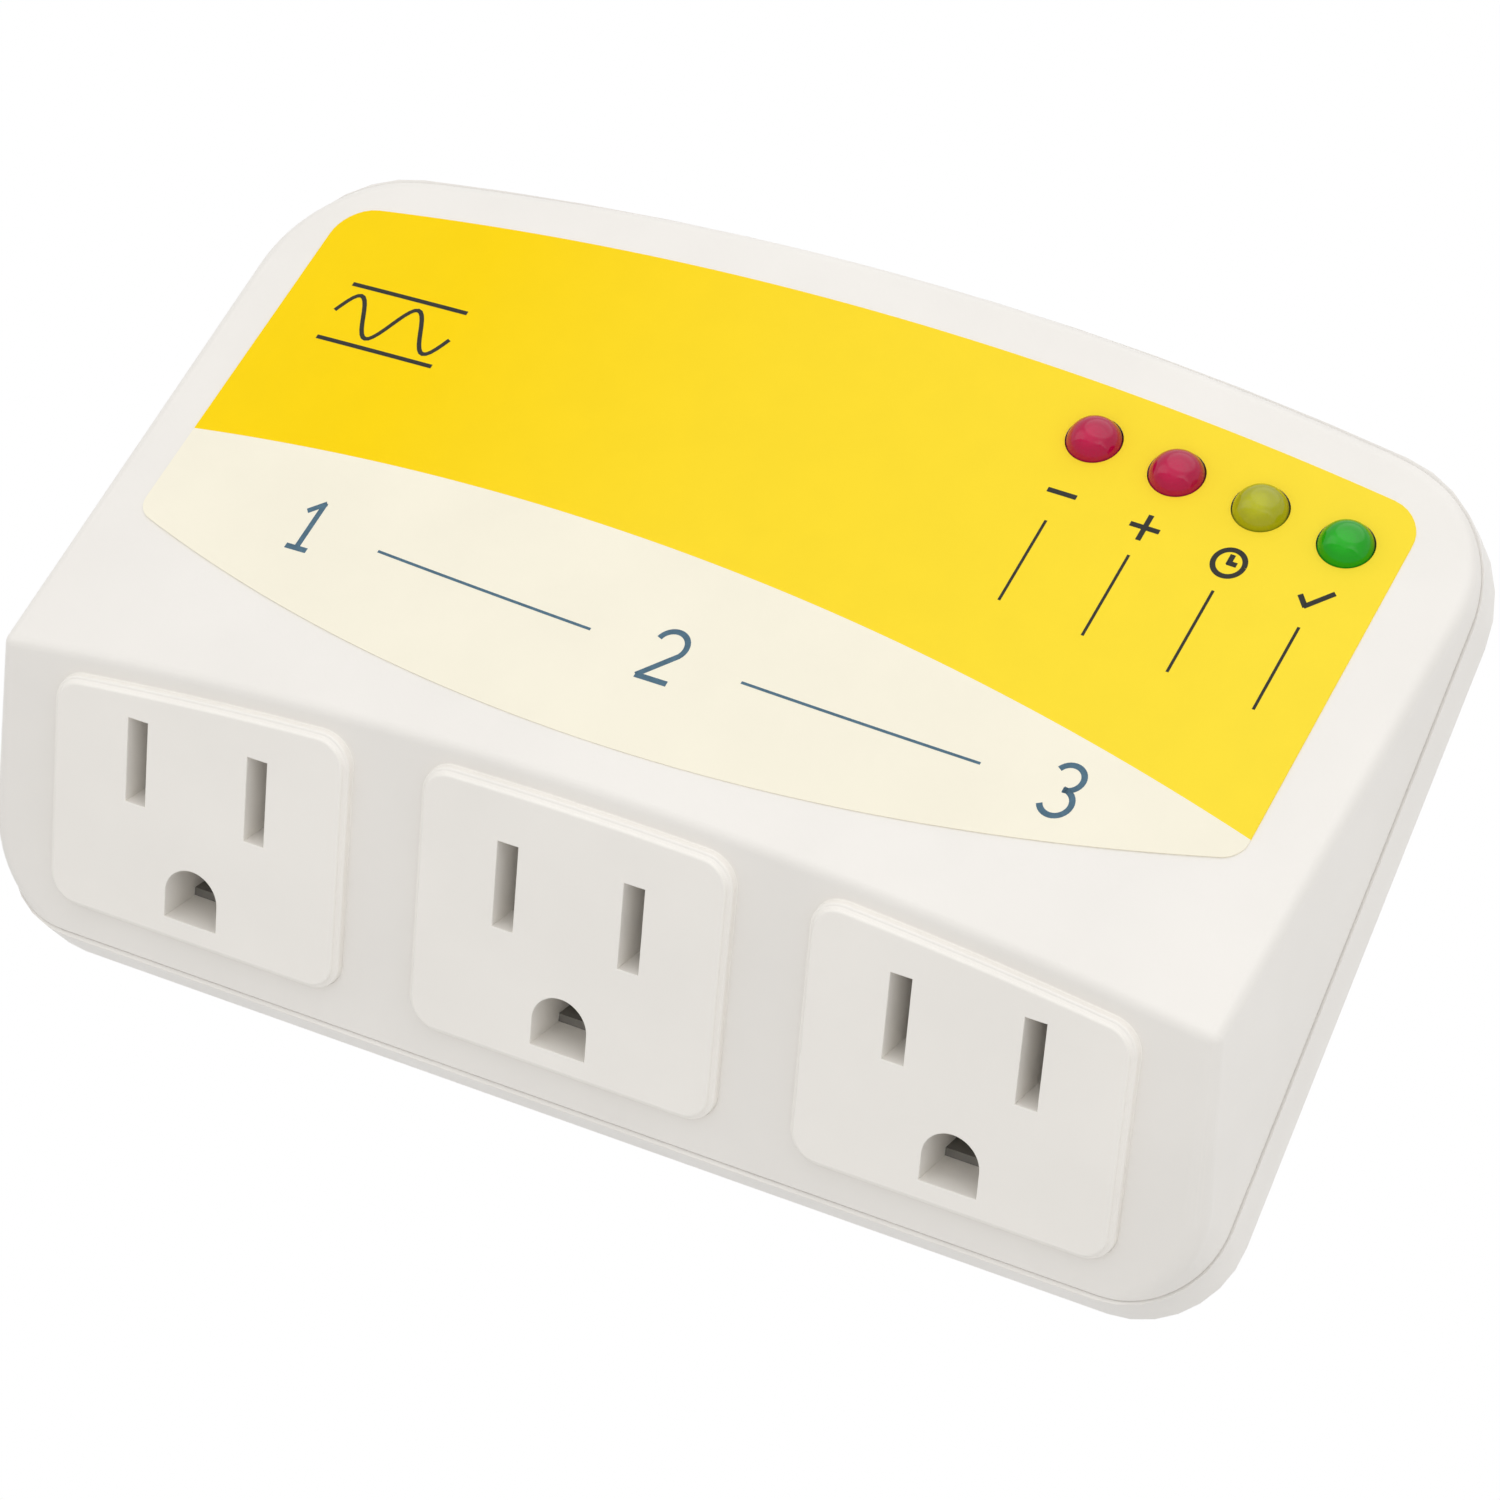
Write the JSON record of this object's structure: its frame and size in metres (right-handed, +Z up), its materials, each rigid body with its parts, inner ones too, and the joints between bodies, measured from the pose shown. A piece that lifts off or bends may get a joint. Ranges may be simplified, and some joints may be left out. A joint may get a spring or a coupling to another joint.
{
  "type": "appliance voltage protector",
  "caption": "Wedge-shaped plug-in voltage protector with grounded outlets on a slanted face, status lamps on an arched labelled front, and a grounded plug behind.",
  "frame": {"origin": "midway between the two flat blades of the plug, on the back face of the housing, which lies against the wall", "axes": "+Y out of the back, the way the plug points; +Z up the wall, away from the outlets; +X to the right seen from the front; the front faces -Y"},
  "size_m": [0.1244, 0.0575, 0.0833],
  "materials": {
    "housing_white": "satin",
    "printed_film": "satin",
    "outlet_plate": "satin",
    "dark_nylon": "matte",
    "brass_strip": "satin",
    "zinc_screw": "satin",
    "plated_blade": "polished",
    "board_laminate": "satin",
    "lens_crimson": "gloss",
    "lens_olive": "gloss",
    "lens_green": "gloss",
    "tinned_lead": "satin",
    "black_plastic": "matte",
    "bobbin_nylon": "matte",
    "copper_winding": "satin",
    "relay_iron": "satin",
    "contact_copper": "satin",
    "relay_blue": "gloss",
    "varistor_blue": "satin",
    "capacitor_yellow": "satin",
    "capacitor_sleeve": "gloss",
    "resistor_green": "matte",
    "resistor_tan": "matte",
    "fuse_glass": "gloss",
    "wire_black": "satin",
    "wire_white": "satin",
    "wire_green": "satin"
  },
  "bodies": {
    "case": {"front_shell": "housing_white", "back_cover": "housing_white", "label": "printed_film", "receptacle_face_left": "outlet_plate", "receptacle_face_middle": "outlet_plate", "receptacle_face_right": "outlet_plate", "contact_carrier": "dark_nylon", "line_bus": "brass_strip", "neutral_bus": "brass_strip", "ground_bus": "brass_strip", "carrier_screws": "zinc_screw", "case_screws": "zinc_screw", "board_screws": "zinc_screw", "retainer_screws": "zinc_screw", "line_blade": "plated_blade", "neutral_blade": "plated_blade", "ground_pin": "plated_blade", "blade_retainer": "dark_nylon", "circuit_board": "board_laminate", "led_under_voltage": "lens_crimson", "led_over_voltage": "lens_crimson", "led_delay": "lens_olive", "led_normal": "lens_green", "led_leads": "tinned_lead", "led_spacers": "black_plastic", "relay_base": "black_plastic", "relay_bobbin": "bobbin_nylon", "relay_coil": "copper_winding", "relay_yoke": "relay_iron", "relay_core": "relay_iron", "relay_fixed_contact": "brass_strip", "relay_stop": "brass_strip", "relay_terminals": "tinned_lead", "relay_case": "relay_blue", "varistors": "varistor_blue", "thermal_cutoff": "tinned_lead", "film_capacitor": "capacitor_yellow", "smoothing_capacitor": "capacitor_sleeve", "timing_capacitor": "capacitor_sleeve", "rectifier_diodes": "black_plastic", "bleed_resistor": "resistor_green", "small_resistors": "resistor_tan", "control_chip": "black_plastic", "regulator": "black_plastic", "driver_transistor": "black_plastic", "board_fuse": "fuse_glass", "fuse_clips": "tinned_lead", "line_wire": "wire_black", "neutral_wire": "wire_white", "ground_wire": "wire_green"},
    "armature": {"relay_armature": "relay_iron", "relay_moving_contact": "contact_copper"}
  },
  "joints": [
    {"name": "relay_armature_hinge", "type": "hinge", "parent": "case", "child": "armature", "pos_m": [0.0117, -0.01945, -0.008], "axis": [0, 0, 1], "range_deg": [0, 3.4], "stiffness_Nm_per_rad": 0.02, "springref_deg": -1.15}
  ]
}
